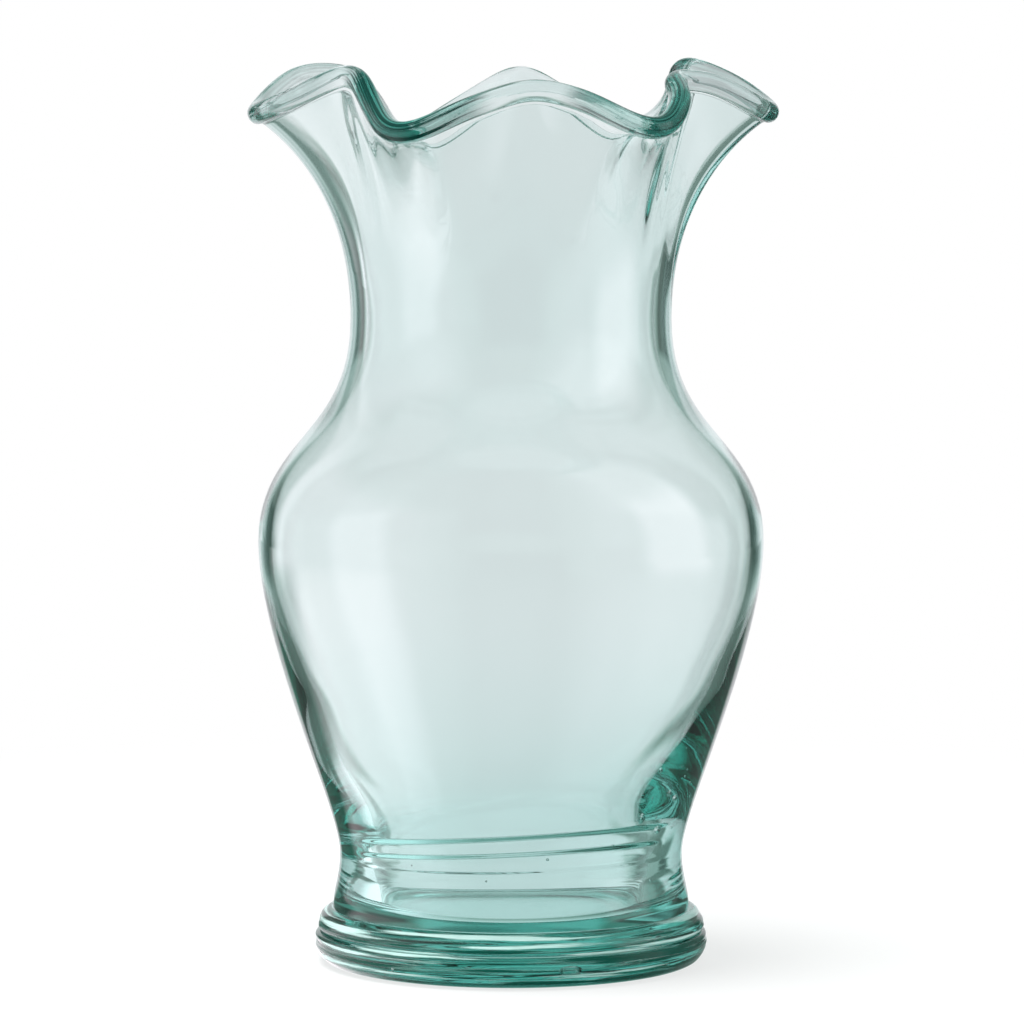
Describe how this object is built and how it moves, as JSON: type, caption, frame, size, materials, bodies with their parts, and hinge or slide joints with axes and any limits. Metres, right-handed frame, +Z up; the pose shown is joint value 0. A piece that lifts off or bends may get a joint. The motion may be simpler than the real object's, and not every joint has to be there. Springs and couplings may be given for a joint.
{
  "type": "glass flower vase",
  "caption": "Free-standing footed glass vase with a round belly, a narrowed neck and a flared mouth whose thick lip is ruffled into lobes and folds.",
  "frame": {"origin": "centre of the foot's underside, on the surface that the vase stands on", "axes": "+Z up along the vase's axis, -Y towards the picture's camera, +X to its right"},
  "size_m": [0.1401, 0.1336, 0.2389],
  "materials": {
    "foot_glass": "gloss",
    "vessel_glass": "gloss",
    "lip_glass": "gloss"
  },
  "bodies": {
    "root": {"foot_disc": "foot_glass", "foot_ring": "foot_glass", "vessel": "vessel_glass", "lip_wrap": "lip_glass"}
  },
  "joints": []
}
